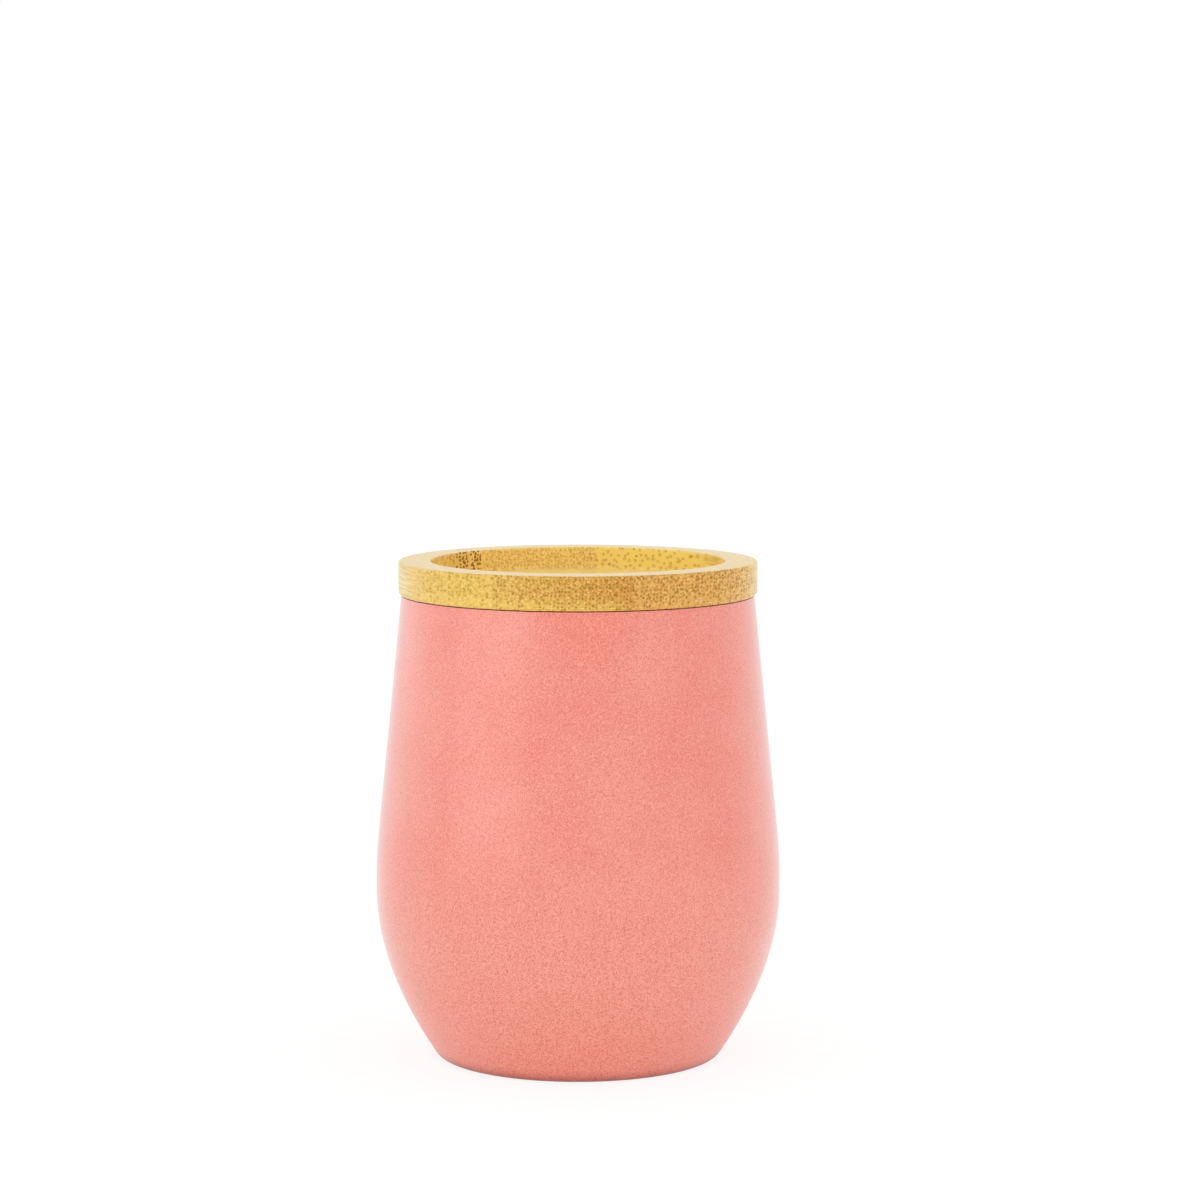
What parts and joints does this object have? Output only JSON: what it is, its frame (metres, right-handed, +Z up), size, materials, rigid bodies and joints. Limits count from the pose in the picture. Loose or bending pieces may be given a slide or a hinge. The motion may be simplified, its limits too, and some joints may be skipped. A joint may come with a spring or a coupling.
{
  "type": "insulated tumbler",
  "caption": "Egg-shaped double-walled vacuum tumbler in coral powder coat, with a push-in bamboo lid sealed by a finned silicone gasket.",
  "frame": {"origin": "middle of the foot ring, on the surface that the tumbler stands on", "axes": "+Z up along the axis of the cup, +X to the right and -Y towards the viewer of the picture"},
  "size_m": [0.086, 0.086, 0.1059],
  "materials": {
    "coral_coat": "satin powder coat with a fine grain",
    "steel": "satin, turned",
    "foil": "bright foil",
    "bead_glass": "melted glass",
    "getter": "sintered metal",
    "bamboo": "sanded and oiled",
    "plug_plastic": "moulded satin",
    "silicone": "matt, milky"
  },
  "bodies": {
    "flask": {"outer_shell": "coral_coat", "inner_liner": "steel", "reflective_foil": "foil", "vacuum_bottom": "steel", "sealing_bead": "bead_glass", "getter_cup": "steel", "getter_pellet": "getter", "base_cover": "steel"},
    "gasket": {"lid_gasket": "silicone"},
    "lid": {"bamboo_lid": "bamboo", "lid_plug": "plug_plastic", "plug_cover": "steel", "lid_screw_1": "steel", "lid_screw_2": "steel", "lid_screw_3": "steel"}
  },
  "joints": [
    {"name": "lid_lift", "type": "slide", "parent": "flask", "child": "gasket", "axis": [0, 0, 1], "range_m": [0, 0.08]},
    {"name": "lid_turn", "type": "hinge", "parent": "gasket", "child": "lid", "pos_m": [0, 0, 0.0987], "axis": [0, 0, 1], "continuous": true}
  ]
}
